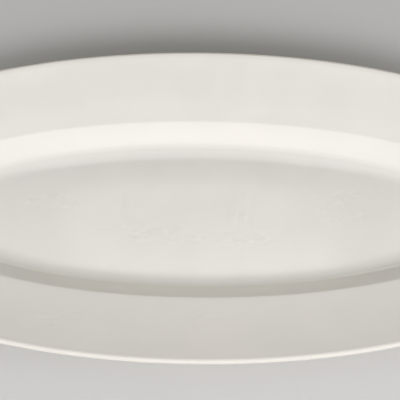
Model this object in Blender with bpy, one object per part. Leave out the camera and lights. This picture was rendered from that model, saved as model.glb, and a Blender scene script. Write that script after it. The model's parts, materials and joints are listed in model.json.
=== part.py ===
"""A long oval china serving platter, modelled as the fired body and the two coats of glaze on it.

Frame: +X runs along the platter's length, +Y across it and +Z up. The origin lies on the
table, under the middle of the platter. Lengths are in metres.

The whole platter comes from one section, drawn across the middle of its length from the
centre outward. Each point of the section is (y, z, x): half width, height and half length of
an oval ring.
"""

import math

import bmesh
import bpy

# Outline, seen from above
HALF_LENGTH = 0.300
HALF_WIDTH = 0.130
WELL_HALF_LENGTH = 0.229  # at the crease between the rim and the well
WELL_HALF_WIDTH = 0.0744
FLOOR_HALF_LENGTH = 0.178  # at the lowest ring of the floor
CREASE_SPREAD = 1.5  # growth of length over growth of width, where the rim starts

# Section of the face: runs across the platter, and slopes as rise over run
CROWN_TOP = 0.0080  # height of the flat middle of the floor above the table
CROWN_HALF_WIDTH = 0.0220
CROWN_FALL = 0.05  # slope at which the floor falls away from its middle
BASIN_RUN = 0.0100
BASIN_SLOPE = 0.22
TURN_RUN = 0.0045
WALL_SLOPE = 0.75
WALL_RUN = 0.0120
CREASE_RUN = 0.0020
RIM_SLOPE_INNER = 0.19
RIM_SLOPE_OUTER = 0.34

# Thicknesses
BODY_THICKNESS = 0.0048  # with its glaze; the lip is a full round of this thickness
GLAZE = 0.00035
GLAZE_GAP = 0.00030  # clearance kept between a glaze coat and the body under it

# Foot ring
FOOT_OUTER = 0.0519  # half width at the table, over the glaze
FOOT_WIDTH = 0.0050
FOOT_DRAFT = 0.0007  # how far each side leans in over the height of the foot
FOOT_SHOULDER = 0.0020  # run of the short slope between the foot and the underside
SHOULDER_SLOPE = 0.30
BARE_HEIGHT = 0.0009  # bottom of the foot that is wiped clean of glaze

# Facets
AROUND = 64
CROWN_STEPS = 2
BASIN_STEPS = 2
TURN_STEPS = 3
CREASE_STEPS = 2
RIM_STEPS = 4

FLOOR_HALF_WIDTH = WELL_HALF_WIDTH - CREASE_RUN / 2 - WALL_RUN - TURN_RUN - BASIN_RUN
CROWN_DROP = CROWN_FALL * (FLOOR_HALF_WIDTH - CROWN_HALF_WIDTH) / 2
FOOT_TOP = FOOT_OUTER + FOOT_DRAFT


def clear_scene():
    for thing in list(bpy.data.objects):
        bpy.data.objects.remove(thing, do_unlink=True)


def end_reach(y):
    """Half length of the oval ring of the face or underside whose half width is y."""
    if y <= FLOOR_HALF_WIDTH:
        return FLOOR_HALF_LENGTH * y / FLOOR_HALF_WIDTH
    if y <= WELL_HALF_WIDTH:
        u = (y - FLOOR_HALF_WIDTH) / (WELL_HALF_WIDTH - FLOOR_HALF_WIDTH)
        return FLOOR_HALF_LENGTH + (WELL_HALF_LENGTH - FLOOR_HALF_LENGTH) * u
    run = HALF_WIDTH - WELL_HALF_WIDTH
    u = (y - WELL_HALF_WIDTH) / run
    widened = (HALF_LENGTH - WELL_HALF_LENGTH) * u * u * (3.0 - 2.0 * u)
    leaving = CREASE_SPREAD * run * u * (1.0 - u) ** 2
    arriving = run * u * u * (u - 1.0)
    return WELL_HALF_LENGTH + widened + leaving + arriving


def foot_reach(y):
    """Half length of a ring of the foot, which keeps one width all round."""
    return end_reach(FOOT_TOP) + y - FOOT_TOP


def ease_slope(start, run, slope_from, slope_to, steps):
    """Points after start along a run in which the slope changes evenly."""
    y0, z0 = start
    points = []
    for i in range(1, steps + 1):
        x = run * i / steps
        rise = slope_from * x + (slope_to - slope_from) * x * x / (2.0 * run)
        points.append((y0 + x, z0 + rise))
    return points


def face_curve():
    """Section of the eating face, from the flat middle of the floor out to the lip."""
    points = [(CROWN_HALF_WIDTH, CROWN_TOP)]
    crown_run = FLOOR_HALF_WIDTH - CROWN_HALF_WIDTH
    lip_lean = math.sin(math.atan(RIM_SLOPE_OUTER))
    rim_end = HALF_WIDTH - BODY_THICKNESS / 2 * (1.0 + lip_lean)
    rim_run = rim_end - WELL_HALF_WIDTH - CREASE_RUN / 2
    for run, slope_from, slope_to, steps in (
        (crown_run, 0.0, -CROWN_FALL, CROWN_STEPS),
        (BASIN_RUN, -CROWN_FALL, BASIN_SLOPE, BASIN_STEPS),
        (TURN_RUN, BASIN_SLOPE, WALL_SLOPE, TURN_STEPS),
        (WALL_RUN, WALL_SLOPE, WALL_SLOPE, 1),
        (CREASE_RUN, WALL_SLOPE, RIM_SLOPE_INNER, CREASE_STEPS),
        (rim_run, RIM_SLOPE_INNER, RIM_SLOPE_OUTER, RIM_STEPS),
    ):
        points += ease_slope(points[-1], run, slope_from, slope_to, steps)
    return points


def sunk(curve, depth):
    """The curve moved by depth to its right-hand side, which is into the china."""
    moved = []
    for i, (y, z) in enumerate(curve):
        y0, z0 = curve[max(i - 1, 0)]
        y1, z1 = curve[min(i + 1, len(curve) - 1)]
        length = math.hypot(y1 - y0, z1 - z0)
        moved.append((y + (z1 - z0) / length * depth, z - (y1 - y0) / length * depth))
    moved[0] = (curve[0][0], curve[0][1] - depth)
    return moved


def lip_arc(rim_end_height, depth):
    """Half circle from the face round to the underside, sunk by depth."""
    lean = math.degrees(math.atan(RIM_SLOPE_OUTER))
    radius = BODY_THICKNESS / 2
    centre_y = HALF_WIDTH - radius
    centre_z = rim_end_height - radius * math.cos(math.radians(lean))
    points = []
    for angle in (90 + lean, 90, 45, 0, -45, lean - 90):
        y = centre_y + (radius - depth) * math.cos(math.radians(angle))
        z = centre_z + (radius - depth) * math.sin(math.radians(angle))
        points.append((y, z))
    return points


def skin(depth):
    """Outside, sunk by depth: face, lip, underside, down the outer side of the foot."""
    face = face_curve()
    over = sunk(face, depth)[:-1]
    under = sunk(face, BODY_THICKNESS - depth)[:-1]
    under = [point for point in reversed(under) if point[0] > FOOT_TOP + FOOT_SHOULDER]
    crown = under[-1][1] - (under[-1][0] - FOOT_TOP) * SHOULDER_SLOPE
    rings = [(y, z, end_reach(y)) for y, z in over + lip_arc(face[-1][1], depth) + under]
    for y, z in ((FOOT_TOP - depth, crown), (FOOT_OUTER - depth, BARE_HEIGHT)):
        rings.append((y, z, foot_reach(y)))
    return rings


def recess(depth):
    """Inside the foot ring, sunk by depth: up its inner side and in under the floor."""
    bottom = FOOT_OUTER - FOOT_WIDTH + depth
    ceiling = CROWN_TOP - CROWN_DROP - BODY_THICKNESS + depth
    points = ((bottom, BARE_HEIGHT), (bottom - FOOT_DRAFT, ceiling))
    return [(y, z, foot_reach(y)) for y, z in points]


def ground():
    """The bare strip that stands on the table."""
    inset = GLAZE + GLAZE_GAP
    edges = (FOOT_OUTER - inset, FOOT_OUTER - FOOT_WIDTH + inset)
    return [(y, 0.0, foot_reach(y)) for y in edges]


def oval_solid(name, rings, material, parent):
    """A closed solid of oval rings, with a flat cap on its first and last."""
    shape = bmesh.new()
    loops = []
    for half_width, height, half_length in rings:
        loop = []
        for j in range(AROUND):
            turn = 2.0 * math.pi * j / AROUND
            place = (half_length * math.cos(turn), half_width * math.sin(turn), height)
            loop.append(shape.verts.new(place))
        loops.append(loop)
    for near, far in zip(loops, loops[1:]):
        for j in range(AROUND):
            k = (j + 1) % AROUND
            shape.faces.new((near[j], far[j], far[k], near[k]))
    shape.faces.new(loops[0])
    shape.faces.new(list(reversed(loops[-1])))
    bmesh.ops.recalc_face_normals(shape, faces=shape.faces)
    mesh = bpy.data.meshes.new(name)
    shape.to_mesh(mesh)
    shape.free()
    mesh.materials.append(material)
    mesh.shade_smooth()
    mesh.set_sharp_from_angle(angle=math.radians(35.0))
    piece = bpy.data.objects.new(name, mesh)
    piece.parent = parent
    bpy.context.scene.collection.objects.link(piece)


def finish(name, colour, roughness):
    material = bpy.data.materials.new(name)
    material.use_nodes = True
    shader = material.node_tree.nodes["Principled BSDF"]
    shader.inputs["Base Color"].default_value = (*colour, 1.0)
    shader.inputs["Roughness"].default_value = roughness
    shader.inputs["Metallic"].default_value = 0.0
    return material


def main():
    clear_scene()
    platter = bpy.data.objects.new("platter", None)
    bpy.context.scene.collection.objects.link(platter)
    biscuit = finish("biscuit", (0.74, 0.70, 0.62), 0.75)
    glaze = finish("glaze", (0.84, 0.82, 0.77), 0.12)

    inset = GLAZE + GLAZE_GAP
    oval_solid("china_body", skin(inset) + ground() + recess(inset), biscuit, platter)
    coat = skin(0.0) + list(reversed(skin(GLAZE)))
    oval_solid("glaze_face_and_rim", coat, glaze, platter)
    coat = list(reversed(recess(GLAZE))) + recess(0.0)
    oval_solid("glaze_foot_recess", coat, glaze, platter)


main()
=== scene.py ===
"""Looks of a long oval china platter: fired body, two coats of glaze, plain pale table."""
import json
import math

import bmesh
import bpy
from mathutils import Matrix, Vector, noise


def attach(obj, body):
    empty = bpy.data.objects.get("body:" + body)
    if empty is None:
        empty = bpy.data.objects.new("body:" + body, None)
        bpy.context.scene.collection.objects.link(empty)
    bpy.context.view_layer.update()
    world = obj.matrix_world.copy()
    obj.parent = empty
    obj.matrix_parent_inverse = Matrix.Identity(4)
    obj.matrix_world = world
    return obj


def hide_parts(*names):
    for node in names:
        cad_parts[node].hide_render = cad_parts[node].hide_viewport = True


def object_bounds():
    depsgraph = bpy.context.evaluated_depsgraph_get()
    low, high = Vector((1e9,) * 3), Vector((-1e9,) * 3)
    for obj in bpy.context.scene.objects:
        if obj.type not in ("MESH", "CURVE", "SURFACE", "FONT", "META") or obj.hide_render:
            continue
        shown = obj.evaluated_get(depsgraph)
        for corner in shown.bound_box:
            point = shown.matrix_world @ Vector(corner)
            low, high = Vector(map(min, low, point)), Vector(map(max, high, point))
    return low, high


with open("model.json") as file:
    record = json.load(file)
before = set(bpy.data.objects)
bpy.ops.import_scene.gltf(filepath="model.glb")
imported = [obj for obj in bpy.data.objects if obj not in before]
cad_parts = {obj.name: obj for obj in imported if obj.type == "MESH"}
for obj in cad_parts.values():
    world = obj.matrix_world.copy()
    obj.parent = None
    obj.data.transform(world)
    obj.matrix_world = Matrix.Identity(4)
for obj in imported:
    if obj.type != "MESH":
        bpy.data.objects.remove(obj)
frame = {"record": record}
cad_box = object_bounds()

# Sizes taken from the frame, in metres
HALF_LENGTH, HALF_WIDTH, LIP_TOP = cad_box[1]
CROWN_TOP = next(m["pos_m"][2] for m in frame["record"]["mounts"] if m["name"] == "well_floor")

# Outline, seen from above
WELL_HALF_LENGTH = 0.229  # at the crease between the rim and the well
WELL_HALF_WIDTH = 0.0744
FLOOR_HALF_LENGTH = 0.178  # at the lowest ring of the floor
CREASE_SPREAD = 1.5  # growth of length over growth of width, where the rim starts

# Section of the face: runs across the platter, and slopes as rise over run
CROWN_HALF_WIDTH = 0.0220
CROWN_FALL = 0.05
BASIN_RUN = 0.0100
BASIN_SLOPE = 0.22
TURN_RUN = 0.0045
WALL_SLOPE = 0.75
WALL_RUN = 0.0120
CREASE_RUN = 0.0020
RIM_SLOPE_INNER = 0.19
RIM_SLOPE_OUTER = 0.34

# Thicknesses
BODY_THICKNESS = 0.0048
GLAZE = 0.00035
FUSED_GAP = 0.00005  # between a coat and the body that it covers

# Foot ring
FOOT_OUTER = 0.0519
FOOT_WIDTH = 0.0050
FOOT_DRAFT = 0.0007
FOOT_SLANT = 0.45  # run over rise of both of its sides
FOOT_FILLET = 0.0026  # run of the bend between the underside and the outer side
FOOT_FILLET_DROP = 0.0010
RECESS_FILLET = 0.0016
RECESS_FILLET_DROP = 0.0012
FOOT_EASE = 0.0004  # radius of the worn edges of the bare ground strip
BARE_HEIGHT = 0.0009

# Facets: one ring is AROUND points, and the steps along the section scale with DETAIL
AROUND = 288
DETAIL = 3
LIP_STEPS = 5 * DETAIL
FILLET_STEPS = 3 * DETAIL
MIDDLE_STEPS = 10  # rings that fill in a level middle
MIDDLE_CAP = 0.25  # half width of the cap in that middle, in steps
ROLL_STEPS = 6
EASE_STEPS = 4
GROUND_STEPS = 6
SHARP_ANGLE = math.radians(50.0)

# Unevenness left by pressing and firing: depths, sizes, and the heights where it fades in
RIM_WAVER = 0.00022
RIM_WAVER_SIZE = 0.16
RIM_WAVER_FROM = 0.012
RIPPLE = 0.000022
RIPPLE_SIZE = 0.030
FINE_RIPPLE = 0.3  # depth of the finer ripple, as a share of RIPPLE
FINE_RIPPLE_SIZE = 0.4 * RIPPLE_SIZE
RIPPLE_FROM = 0.0025
RIPPLE_FADE = 0.003
WAVER_LEVEL = 0.3  # the three patterns are cut from the noise at three levels
RIPPLE_LEVEL = 1.7
FINE_RIPPLE_LEVEL = 4.1

# Painted shade: the glaze colour is darker in a ring at the foot of the wall of the well, in the
# crease there
CREASE_SHADE_HALF_WIDTH = 0.058
CREASE_SHADE_SPREAD = 0.0045

# Painted shade: the glaze colour is darker over the round of the lip, which dims its highlight,
# and the glaze is duller there; by half width of the ring
LIP_SHADE_FROM = 0.1262
LIP_SHADE_TO = 0.1278

# Colours, linear
GLAZE_DARKER = (0.790, 0.772, 0.732)
GLAZE_LIGHTER = (0.812, 0.792, 0.750)
GLAZE_COOLER = (0.795, 0.785, 0.748)
# painted shade for the crease at the foot of the wall of the well
GLAZE_CREASE_SHADE = (0.765, 0.758, 0.715)
# painted shade over the round of the lip, which dims its highlight
GLAZE_LIP_SHADE = (0.685, 0.664, 0.618)
SPECK = (0.36, 0.30, 0.22)
BISCUIT_DARK = (0.72, 0.67, 0.58)
BISCUIT_LIGHT = (0.77, 0.73, 0.65)
BISCUIT_GRAIN = (0.55, 0.49, 0.40)
BISCUIT_RUBBED = (0.50, 0.48, 0.45)
TABLE_DARK = (0.56, 0.56, 0.555)
TABLE_LIGHT = (0.62, 0.62, 0.615)

# Marks of use, as patches on the face: place in x and y, half length and half width
LONG_SMEARS = (
    (-0.045, -0.013, 0.045, 0.011),
    (0.028, -0.020, 0.055, 0.012),
    (-0.091, -0.094, 0.036, 0.011),
    (0.008, -0.092, 0.022, 0.007),
)
ROUND_SMEARS = (
    (-0.112, 0.010, 0.036, 0.013),
    (0.104, 0.010, 0.042, 0.022),
    (-0.020, -0.018, 0.055, 0.012),
    (0.030, -0.021, 0.045, 0.012),
)
UPRIGHT_SMEARS = (
    (-0.056, 0.002, 0.008, 0.024),
    (0.030, -0.004, 0.014, 0.032),
)
SCRATCHED = (0.0, -0.002, 0.155, 0.040)
STAINED = (0.108, -0.004, 0.060, 0.045)
SMEAR_STRENGTH = 0.22  # how far the smears darken or lighten the glaze
SCRATCH_STRENGTH = 0.030
STAIN_STRENGTH = 0.018
FACE_FROM = 0.0045  # marks fade in between these heights, which keeps them out of the recess
FACE_TO = 0.0055
PATCH_CORE = 0.35  # share of a patch that is at full strength
PATCH_HEIGHT = 1000.0  # so that a patch is cut by x and y only

# Iron specks: a dot in one Voronoi cell out of about twenty
SPECK_CELLS = 38.0  # per metre
SPECK_CORE = 0.006  # radii, as shares of a cell
SPECK_EDGE = 0.014
SPECK_FREE = 0.955  # share of the cells that have none
SPECK_STRENGTH = 0.55

# Finish
GLAZE_IOR = 1.5
GLAZE_ROUGHNESS = 0.075
GLAZE_ROUGHNESS_SPREAD = 0.05
SMEAR_ROUGHNESS = 0.50
SCRATCH_ROUGHNESS = 0.10
# rougher over the round of the lip, where the glaze is also painted darker
LIP_SHADE_ROUGHNESS = 0.16
BISCUIT_ROUGHNESS = 0.78
RUBBED_SMOOTHER = 0.15
TABLE_ROUGHNESS = 0.65

# Relief too fine for the mesh, in metres
GLAZE_SKIN = 0.000006
SMEAR_RELIEF = 0.000030
BISCUIT_RELIEF = 0.00004
TABLE_RELIEF = 0.00003

TABLE_SIZE = 8.0
TABLE_TOP = -0.0001

CAMERA_ELEVATION = math.radians(60.0)
CAMERA_ROLL = math.radians(0.53)
CAMERA_DISTANCE = 1.0
CAMERA_TARGET = Vector((0.0, -0.0013, LIP_TOP - 0.0024))
LENS = 123.93
SENSOR = 36.0

# Soft panels of light, turned to the platter: name, two angles in degrees, width, depth,
# power and colour. The first angle goes round the vertical, from the camera's side to the
# right; the second goes from the front over the top.
LIGHT_DISTANCE = 1.2
DAY = (1.0, 0.978, 0.972)
COOL = (0.970, 1.0, 1.0)
WARM = (1.0, 0.890, 0.700)
LIGHTS = (
    ("front", 0, 42, 0.90, 0.36, 4.65, DAY),
    ("front_left", -50, 40, 0.90, 0.36, 7.8, DAY),
    ("front_right", 50, 40, 0.90, 0.36, 9.7, DAY),
    ("overhead_front", 0, 84, 0.90, 0.45, 0.62, COOL),
    ("overhead", 0, 97, 0.90, 0.45, 0.48, COOL),
    ("overhead_back", 0, 112, 0.46, 0.46, 0.66, COOL),
    ("back", 0, 167, 1.00, 0.40, 3.00, WARM),
)
STUDIO_WHITE = (1.0, 1.0, 1.0, 1.0)
STUDIO_STRENGTH = 0.10

FLOOR_HALF_WIDTH = WELL_HALF_WIDTH - CREASE_RUN / 2 - WALL_RUN - TURN_RUN - BASIN_RUN
CROWN_DROP = CROWN_FALL * (FLOOR_HALF_WIDTH - CROWN_HALF_WIDTH) / 2
FOOT_TOP = FOOT_OUTER + FOOT_DRAFT
EDGE = BARE_HEIGHT + GLAZE / 2  # middle of the rolled bottom edges of the two coats


def end_reach(y):
    """Half length of the oval ring of the face or underside whose half width is y."""
    if y <= FLOOR_HALF_WIDTH:
        return FLOOR_HALF_LENGTH * y / FLOOR_HALF_WIDTH
    if y <= WELL_HALF_WIDTH:
        u = (y - FLOOR_HALF_WIDTH) / (WELL_HALF_WIDTH - FLOOR_HALF_WIDTH)
        return FLOOR_HALF_LENGTH + (WELL_HALF_LENGTH - FLOOR_HALF_LENGTH) * u
    run = HALF_WIDTH - WELL_HALF_WIDTH
    u = (y - WELL_HALF_WIDTH) / run
    widened = (HALF_LENGTH - WELL_HALF_LENGTH) * u * u * (3.0 - 2.0 * u)
    leaving = CREASE_SPREAD * run * u * (1.0 - u) ** 2
    arriving = run * u * u * (u - 1.0)
    return WELL_HALF_LENGTH + widened + leaving + arriving


def foot_reach(y):
    """Half length of a ring of the foot, which keeps one width all round."""
    return end_reach(FOOT_TOP) + y - FOOT_TOP


def ease_slope(start, run, slope_from, slope_to, steps):
    """Points after start along a run in which the slope changes evenly."""
    y0, z0 = start
    points = []
    for i in range(1, steps + 1):
        x = run * i / steps
        rise = slope_from * x + (slope_to - slope_from) * x * x / (2.0 * run)
        points.append((y0 + x, z0 + rise))
    return points


def face_curve():
    """Section of the eating face, from the flat middle of the floor out to the lip."""
    points = [(CROWN_HALF_WIDTH, CROWN_TOP)]
    crown_run = FLOOR_HALF_WIDTH - CROWN_HALF_WIDTH
    lip_lean = math.sin(math.atan(RIM_SLOPE_OUTER))
    rim_end = HALF_WIDTH - BODY_THICKNESS / 2 * (1.0 + lip_lean)
    rim_run = rim_end - WELL_HALF_WIDTH - CREASE_RUN / 2
    for run, slope_from, slope_to, steps in (
        (crown_run, 0.0, -CROWN_FALL, 3),
        (BASIN_RUN, -CROWN_FALL, BASIN_SLOPE, 3),
        (TURN_RUN, BASIN_SLOPE, WALL_SLOPE, 3),
        (WALL_RUN, WALL_SLOPE, WALL_SLOPE, 2),
        (CREASE_RUN, WALL_SLOPE, RIM_SLOPE_INNER, 2),
        (rim_run, RIM_SLOPE_INNER, RIM_SLOPE_OUTER, 6),
    ):
        points += ease_slope(points[-1], run, slope_from, slope_to, steps * DETAIL)
    return points


def sunk(curve, depth):
    """The curve moved by depth to its right-hand side, which is into the china."""
    moved = []
    for i, (y, z) in enumerate(curve):
        y0, z0 = curve[max(i - 1, 0)]
        y1, z1 = curve[min(i + 1, len(curve) - 1)]
        length = math.hypot(y1 - y0, z1 - z0)
        moved.append((y + (z1 - z0) / length * depth, z - (y1 - y0) / length * depth))
    moved[0] = (curve[0][0], curve[0][1] - depth)
    return moved


def unfolded(curve):
    """An outward curve without the loop that it makes where it is sunk past a tight bend."""
    widths = [y for y, z in curve]
    kept = []
    for i, point in enumerate(curve):
        if max(widths[:i], default=-1.0) < point[0] < min(widths[i + 1:], default=1.0):
            kept.append(point)
    return kept


def arc(centre, radius, angle_from, angle_to, steps):
    """Points of an arc, with its angles in radians and both of its ends."""
    points = []
    for i in range(steps + 1):
        angle = angle_from + (angle_to - angle_from) * i / steps
        points.append((centre[0] + radius * math.cos(angle), centre[1] + radius * math.sin(angle)))
    return points


def bend(start, corner, end, steps):
    """Points of a smooth bend from start to end that leans towards the corner."""
    points = []
    for i in range(steps + 1):
        t = i / steps
        a, b, c = (1 - t) ** 2, 2 * t * (1 - t), t * t
        y = a * start[0] + b * corner[0] + c * end[0]
        z = a * start[1] + b * corner[1] + c * end[1]
        points.append((y, z))
    return points


def lip_arc(rim_end_height, depth, steps):
    """Half circle from the face round to the underside, sunk by depth."""
    lean = math.atan(RIM_SLOPE_OUTER)
    radius = BODY_THICKNESS / 2
    centre = (HALF_WIDTH - radius, rim_end_height - radius * math.cos(lean))
    return arc(centre, radius - depth, math.pi / 2 + lean, lean - math.pi / 2, steps)


def cut(curve, end):
    """The part of an inward curve outside half width end, with a new last point on it."""
    kept = [point for point in curve if point[0] > end]
    (y0, z0), (y1, z1) = kept[-1], curve[len(kept)]
    return kept + [(end, z0 + (z1 - z0) * (end - y0) / (y1 - y0))]


def skin(depth):
    """Outside, sunk by depth: face, lip, underside, down the outer side of the foot."""
    face = face_curve()
    over = sunk(face, depth)[:-1]
    under = unfolded(sunk(face, BODY_THICKNESS - depth)[:-1])
    under = cut(under[::-1], FOOT_TOP + FOOT_FILLET - depth)
    slope = (under[-2][1] - under[-1][1]) / (under[-2][0] - under[-1][0])
    bottom = (FOOT_OUTER - depth, EDGE)
    corner_height = under[-1][1] - FOOT_FILLET * slope
    corner = (bottom[0] + (corner_height - EDGE) * FOOT_SLANT, corner_height)
    end = (corner[0] - FOOT_FILLET_DROP * FOOT_SLANT, corner_height - FOOT_FILLET_DROP)
    fillet = bend(under[-1], corner, end, FILLET_STEPS)[1:]
    lip = lip_arc(face[-1][1], depth, LIP_STEPS)
    rings = [(y, z, end_reach(y)) for y, z in over + lip + under]
    for y, z in fillet + [bottom]:
        rings.append((y, z, foot_reach(y) if y < FOOT_TOP else end_reach(y)))
    return rings


def recess(depth):
    """Inside the foot ring, sunk by depth: up its inner side and in under the floor."""
    bottom = (FOOT_OUTER - FOOT_WIDTH + depth, EDGE)
    ceiling = CROWN_TOP - CROWN_DROP - BODY_THICKNESS + depth
    corner = (bottom[0] - (ceiling - EDGE) * FOOT_SLANT, ceiling)
    start = (corner[0] + RECESS_FILLET_DROP * FOOT_SLANT, ceiling - RECESS_FILLET_DROP)
    end = (corner[0] - RECESS_FILLET, ceiling)
    points = [bottom] + bend(start, corner, end, FILLET_STEPS)
    return [(y, z, foot_reach(y)) for y, z in points]


def filled(ring):
    """Rings that carry a level floor or ceiling in from the given ring, middle first."""
    y, z, x = ring
    shares = [(i + MIDDLE_CAP) / MIDDLE_STEPS for i in range(MIDDLE_STEPS)]
    return [(y * share, z, x * share) for share in shares]


def ground():
    """The bare strip that stands on the table, with its edges worn round."""
    outer = FOOT_OUTER - GLAZE - FUSED_GAP - FOOT_EASE
    inner = FOOT_OUTER - FOOT_WIDTH + GLAZE + FUSED_GAP + FOOT_EASE
    points = arc((outer, FOOT_EASE), FOOT_EASE, 0.0, -math.pi / 2, EASE_STEPS)
    for i in range(1, GROUND_STEPS):
        points.append((outer + (inner - outer) * i / GROUND_STEPS, 0.0))
    points += arc((inner, FOOT_EASE), FOOT_EASE, -math.pi / 2, -math.pi, EASE_STEPS)
    return [(y, z, foot_reach(y)) for y, z in points]


def settle(place):
    """Where a point ends up after firing: the rim sags a little, and unevenly."""
    x, y, z = place
    lift = max(0.0, (z - RIM_WAVER_FROM) / (LIP_TOP - RIM_WAVER_FROM))
    waver = noise.noise(Vector((x, y, WAVER_LEVEL)) / RIM_WAVER_SIZE)
    sag = RIM_WAVER * lift * lift * (0.5 + 0.5 * waver)
    broad = noise.noise(Vector((x, y, RIPPLE_LEVEL)) / RIPPLE_SIZE)
    fine = noise.noise(Vector((x, y, FINE_RIPPLE_LEVEL)) / FINE_RIPPLE_SIZE)
    fade = min(1.0, max(0.0, (z - RIPPLE_FROM) / RIPPLE_FADE))
    ripple = RIPPLE * (1.0 + broad + FINE_RIPPLE * fine) * fade
    return Vector((x, y, z - sag - ripple))


def oval_solid(name, rings, material):
    """A closed solid of oval rings, with a small cap on its first and last."""
    shape = bmesh.new()
    # shares of painted shade stored on each point: in the crease at the foot of the wall, and over
    # the round of the lip
    pooled = shape.verts.layers.float.new("pooled")
    thinned = shape.verts.layers.float.new("thinned")
    loops = []
    for half_width, height, half_length in rings:
        loop = []
        # painted shade: strongest in a ring at the foot of the wall of the well
        crease_shade_share = math.exp(-((half_width - CREASE_SHADE_HALF_WIDTH) / CREASE_SHADE_SPREAD) ** 2)
        # painted shade: full over the round of the lip
        lip_shade_share = min(1.0, max(0.0, (half_width - LIP_SHADE_FROM) / (LIP_SHADE_TO - LIP_SHADE_FROM)))
        for j in range(AROUND):
            turn = 2.0 * math.pi * j / AROUND
            place = (half_length * math.cos(turn), half_width * math.sin(turn), height)
            point = shape.verts.new(settle(place))
            point[pooled] = crease_shade_share
            point[thinned] = lip_shade_share
            loop.append(point)
        loops.append(loop)
    for near, far in zip(loops, loops[1:]):
        for j in range(AROUND):
            k = (j + 1) % AROUND
            shape.faces.new((near[j], far[j], far[k], near[k]))
    shape.faces.new(loops[0])
    shape.faces.new(list(reversed(loops[-1])))
    bmesh.ops.recalc_face_normals(shape, faces=shape.faces)
    mesh = bpy.data.meshes.new(name)
    shape.to_mesh(mesh)
    shape.free()
    mesh.materials.append(material)
    mesh.shade_smooth()
    mesh.set_sharp_from_angle(angle=SHARP_ANGLE)
    piece = bpy.data.objects.new(name, mesh)
    bpy.context.scene.collection.objects.link(piece)
    return piece


class Nodes:
    """A small helper that adds nodes to one material and joins them."""

    def __init__(self, name):
        self.material = bpy.data.materials.new(name)
        self.material.use_nodes = True
        self.tree = self.material.node_tree
        self.shader = self.tree.nodes["Principled BSDF"]
        self.place = self.add("ShaderNodeTexCoord").outputs["Object"]

    def add(self, kind, **inputs):
        """A new node of this kind, with some of its inputs set or joined."""
        node = self.tree.nodes.new(kind)
        for name, value in inputs.items():
            self.set(node.inputs[name.replace("_", " ")], value)
        return node

    def set(self, socket, value):
        """Join another node's output to this socket, or give the socket a plain value."""
        if isinstance(value, bpy.types.NodeSocket):
            self.tree.links.new(value, socket)
        else:
            socket.default_value = value

    def math(self, operation, *values):
        """What an operation makes of its values."""
        node = self.add("ShaderNodeMath")
        node.operation = operation
        for socket, value in zip(node.inputs, values):
            self.set(socket, value)
        return node.outputs["Value"]

    def around(self, x, y, sizes, turn=0.0):
        """Object coordinates counted from a place on the platter, in the given sizes."""
        mapping = self.add("ShaderNodeMapping", Vector=self.place)
        mapping.vector_type = "TEXTURE"
        mapping.inputs["Location"].default_value = (x, y, 0.0)
        mapping.inputs["Rotation"].default_value = (0.0, 0.0, turn)
        mapping.inputs["Scale"].default_value = sizes
        return mapping.outputs["Vector"]

    def noise(self, sizes, detail, turn=0.0, start=0.0):
        """Noise from 0 to 1 whose features have the given sizes in metres."""
        place = self.around(start, start, sizes, turn)
        node = self.add("ShaderNodeTexNoise", Vector=place, Scale=1.0, Detail=detail)
        return node.outputs[0]

    def even_noise(self, size, detail, start=0.0):
        """Noise whose features have the same size in every direction."""
        return self.noise((size, size, size), detail, start=start)

    def ramp(self, value, low, high):
        """The value stretched so that low gives 0 and high gives 1, with soft ends."""
        node = self.add("ShaderNodeMapRange", Value=value, From_Min=low, From_Max=high)
        node.interpolation_type = "SMOOTHSTEP"
        return node.outputs["Result"]

    def patch(self, x, y, half_length, half_width):
        """A soft oval spot: 1 in its middle and 0 outside it."""
        place = self.around(x, y, (half_length, half_width, PATCH_HEIGHT))
        length = self.add("ShaderNodeVectorMath", Vector=place)
        length.operation = "LENGTH"
        return self.ramp(length.outputs["Value"], 1.0, PATCH_CORE)

    def mix(self, factor, first, second):
        """A colour between two colours."""
        node = self.add("ShaderNodeMix")
        node.data_type = "RGBA"
        self.set(node.inputs[0], factor)
        for index, value in ((6, first), (7, second)):
            self.set(node.inputs[index], (*value, 1.0) if isinstance(value, tuple) else value)
        return node.outputs[2]

    def scaled(self, colour, factor):
        """A colour made darker or lighter by a factor."""
        node = self.add("ShaderNodeVectorMath", Vector=colour)
        node.operation = "SCALE"
        self.set(node.inputs["Scale"], factor)
        return node.outputs["Vector"]

    def stored(self, name):
        """A value that oval_solid wrote on the mesh."""
        node = self.add("ShaderNodeAttribute")
        node.attribute_name = name
        return node.outputs["Fac"]

    def bump(self, height, depth, below=None):
        """A bump whose height of 1 stands for depth metres."""
        node = self.add("ShaderNodeBump", Height=height, Distance=depth, Strength=1.0)
        if below is not None:
            self.set(node.inputs["Normal"], below)
        return node.outputs["Normal"]


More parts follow.
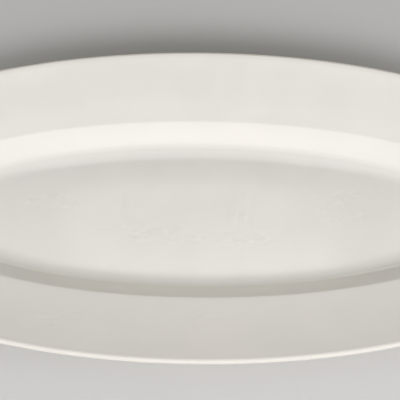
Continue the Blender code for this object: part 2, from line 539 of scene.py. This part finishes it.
def glaze_material():
    """Clear glossy glaze over warm white china, with the marks of use on the face, and painted
    shade at the foot of the well's wall and over the round of the lip.
    """
    n = Nodes("warm_white_glaze")
    cloud = n.ramp(n.even_noise(0.034, 3.0), 0.35, 0.65)
    broad = n.ramp(n.noise((0.16, 0.12, 0.16), 2.0, start=0.31), 0.3, 0.7)
    colour = n.mix(cloud, GLAZE_DARKER, GLAZE_LIGHTER)
    colour = n.mix(n.math("MULTIPLY", broad, 0.5), colour, GLAZE_COOLER)
    # painted shade in the crease at the foot of the wall of the well
    colour = n.mix(n.math("MULTIPLY", n.stored("pooled"), 0.6), colour, GLAZE_CREASE_SHADE)
    # painted shade over the round of the lip, which dims its highlight
    thinned = n.stored("thinned")
    colour = n.mix(thinned, colour, GLAZE_LIP_SHADE)

    # Marks of use: paler and darker smears, hairlines that cross, and a faint stain
    smear = 0.0
    for marks, spots in (
        (n.noise((0.0100, 0.0030, 0.01), 5.0, turn=0.05), LONG_SMEARS),
        (n.noise((0.0060, 0.0034, 0.01), 5.0, turn=-0.12, start=0.2), ROUND_SMEARS),
        (n.noise((0.0030, 0.0170, 0.01), 4.0, turn=-0.16, start=0.4), UPRIGHT_SMEARS),
    ):
        spread = 0.0
        for spot in spots:
            spread = n.math("MAXIMUM", n.patch(*spot), spread)
        smear = n.math("MULTIPLY_ADD", n.math("SUBTRACT", marks, 0.5), spread, smear)
    uneven = n.ramp(n.noise((0.0150, 0.0080, 0.01), 3.0, start=0.55), 0.36, 0.62)
    height = n.add("ShaderNodeSeparateXYZ", Vector=n.place).outputs["Z"]
    on_face = n.ramp(height, FACE_FROM, FACE_TO)
    smear = n.math("MULTIPLY", n.math("MULTIPLY", smear, uneven), on_face)
    rising = n.ramp(n.noise((0.0260, 0.0005, 0.01), 2.0, turn=0.42, start=0.6), 0.64, 0.76)
    falling = n.ramp(n.noise((0.0300, 0.0005, 0.01), 2.0, turn=-0.75, start=0.8), 0.65, 0.77)
    hairs = n.math("MULTIPLY", n.math("MAXIMUM", rising, falling), n.patch(*SCRATCHED))
    hairs = n.math("MULTIPLY", hairs, on_face)
    stain = n.math("MULTIPLY", n.patch(*STAINED), on_face)
    shade = n.math("MULTIPLY_ADD", smear, -SMEAR_STRENGTH, 1.0)
    shade = n.math("MULTIPLY_ADD", hairs, -SCRATCH_STRENGTH, shade)
    shade = n.math("MULTIPLY_ADD", stain, -STAIN_STRENGTH, shade)
    colour = n.scaled(colour, shade)

    cells = n.add("ShaderNodeTexVoronoi", Vector=n.place, Scale=SPECK_CELLS)
    dot = n.ramp(cells.outputs["Distance"], SPECK_EDGE, SPECK_CORE)
    split = n.add("ShaderNodeSeparateColor", Color=cells.outputs["Color"])
    chosen = n.math("GREATER_THAN", split.outputs[0], SPECK_FREE)
    speck = n.math("MULTIPLY", n.math("MULTIPLY", dot, chosen), SPECK_STRENGTH)
    n.set(n.shader.inputs["Base Color"], n.mix(speck, colour, SPECK))

    waviness = n.even_noise(0.020, 4.0, start=0.5)
    rough = n.math("MULTIPLY_ADD", waviness, GLAZE_ROUGHNESS_SPREAD, GLAZE_ROUGHNESS)
    rough = n.math("MULTIPLY_ADD", n.math("ABSOLUTE", smear), SMEAR_ROUGHNESS, rough)
    rough = n.math("MULTIPLY_ADD", hairs, SCRATCH_ROUGHNESS, rough)
    rough = n.math("MULTIPLY_ADD", thinned, LIP_SHADE_ROUGHNESS, rough)
    n.set(n.shader.inputs["Roughness"], rough)
    n.shader.inputs["IOR"].default_value = GLAZE_IOR
    skin_relief = n.bump(n.even_noise(0.0060, 2.0, start=0.9), GLAZE_SKIN)
    n.set(n.shader.inputs["Normal"], n.bump(smear, -SMEAR_RELIEF, skin_relief))
    return n.material


def biscuit_material():
    """Unglazed fired china: matt, sandy, and rubbed grey where it stands."""
    n = Nodes("bare_biscuit")
    grain = n.even_noise(0.0005, 4.0)
    cloud = n.ramp(n.even_noise(0.012, 3.0, start=0.3), 0.3, 0.7)
    rub = n.ramp(n.even_noise(0.020, 4.0, start=0.7), 0.50, 0.72)
    colour = n.mix(cloud, BISCUIT_DARK, BISCUIT_LIGHT)
    grains = n.math("MULTIPLY", n.ramp(grain, 0.50, 0.72), 0.35)
    colour = n.mix(grains, colour, BISCUIT_GRAIN)
    colour = n.mix(n.math("MULTIPLY", rub, 0.45), colour, BISCUIT_RUBBED)
    n.set(n.shader.inputs["Base Color"], colour)
    rough = n.math("MULTIPLY_ADD", rub, -RUBBED_SMOOTHER, BISCUIT_ROUGHNESS)
    n.set(n.shader.inputs["Roughness"], rough)
    n.set(n.shader.inputs["Normal"], n.bump(grain, BISCUIT_RELIEF))
    return n.material


def table_material():
    """Plain pale matt surface with a faint unevenness."""
    n = Nodes("pale_table")
    cloud = n.even_noise(0.35, 3.0)
    grain = n.even_noise(0.0015, 3.0)
    tone = n.math("MULTIPLY_ADD", grain, 0.25, n.math("MULTIPLY", cloud, 0.75))
    n.set(n.shader.inputs["Base Color"], n.mix(tone, TABLE_DARK, TABLE_LIGHT))
    n.shader.inputs["Roughness"].default_value = TABLE_ROUGHNESS
    n.set(n.shader.inputs["Normal"], n.bump(grain, TABLE_RELIEF))
    return n.material


def roll(middle):
    """The bottom edge of a coat, rolled round from its outer side to its inner one."""
    turn = arc((middle, EDGE), GLAZE / 2, 0.0, -math.pi, ROLL_STEPS)[1:-1]
    return [(y, z, foot_reach(y)) for y, z in turn]


def coat_of_face():
    """Glaze over the face, the lip, the underside and the outer side of the foot."""
    over = skin(0.0)
    under = skin(GLAZE)
    outside = filled(over[0]) + over
    inside = filled(under[0]) + under
    return outside + roll(FOOT_OUTER - GLAZE / 2) + inside[::-1]


def coat_of_recess():
    """Glaze inside the foot ring."""
    over = recess(0.0)
    under = recess(GLAZE)
    outside = over + filled(over[-1])[::-1]
    inside = under + filled(under[-1])[::-1]
    return inside[::-1] + roll(FOOT_OUTER - FOOT_WIDTH + GLAZE / 2) + outside


def body():
    """The fired china itself, which shows only on the ground strip."""
    top = skin(GLAZE + FUSED_GAP)
    inside = recess(GLAZE + FUSED_GAP)
    return filled(top[0]) + top + ground() + inside + filled(inside[-1])[::-1]


glaze = glaze_material()
biscuit = biscuit_material()

for piece, node, slot in (
    (oval_solid("glazed_face", coat_of_face(), glaze), "glaze_face_and_rim", "glaze"),
    (oval_solid("glazed_recess", coat_of_recess(), glaze), "glaze_foot_recess", "glaze"),
    (oval_solid("fired_body", body(), biscuit), "china_body", "biscuit"),
):
    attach(piece, "root")
    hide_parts(node)

bpy.ops.mesh.primitive_plane_add(size=TABLE_SIZE, location=(0, 0, TABLE_TOP))
table = bpy.context.object
table.name = "table"
table.data.materials.append(table_material())

camera_data = bpy.data.cameras.new("camera")
camera_data.lens = LENS
camera_data.sensor_width = SENSOR
camera = bpy.data.objects.new("camera", camera_data)
bpy.context.scene.collection.objects.link(camera)
back = Vector((0.0, -math.cos(CAMERA_ELEVATION), math.sin(CAMERA_ELEVATION)))
spin = back.to_track_quat("Z", "Y").to_matrix().to_4x4()
roll_over = Matrix.Rotation(CAMERA_ROLL, 4, "Z")
camera.matrix_world = Matrix.Translation(CAMERA_TARGET + back * CAMERA_DISTANCE) @ spin @ roll_over
bpy.context.scene.camera = camera

for name, azimuth, elevation, width, depth, power, colour in LIGHTS:
    over = math.radians(elevation)
    around = math.radians(azimuth)
    forward = -math.cos(over) * math.cos(around)
    way = Vector((math.sin(around), forward, math.sin(over) * math.cos(around))).normalized()
    panel = bpy.data.lights.new(name, "AREA")
    panel.shape = "RECTANGLE"
    panel.size = width
    panel.size_y = depth
    panel.energy = power
    panel.color = colour
    lamp = bpy.data.objects.new(name, panel)
    lamp.location = way * LIGHT_DISTANCE
    lamp.rotation_euler = (-way).to_track_quat("-Z", "Y").to_euler()
    lamp.visible_camera = False
    bpy.context.scene.collection.objects.link(lamp)

world = bpy.data.worlds.new("studio")
bpy.context.scene.world = world
world.use_nodes = True
studio = world.node_tree.nodes["Background"]
studio.inputs["Color"].default_value = STUDIO_WHITE
studio.inputs["Strength"].default_value = STUDIO_STRENGTH

bpy.context.scene.view_settings.view_transform = "Standard"
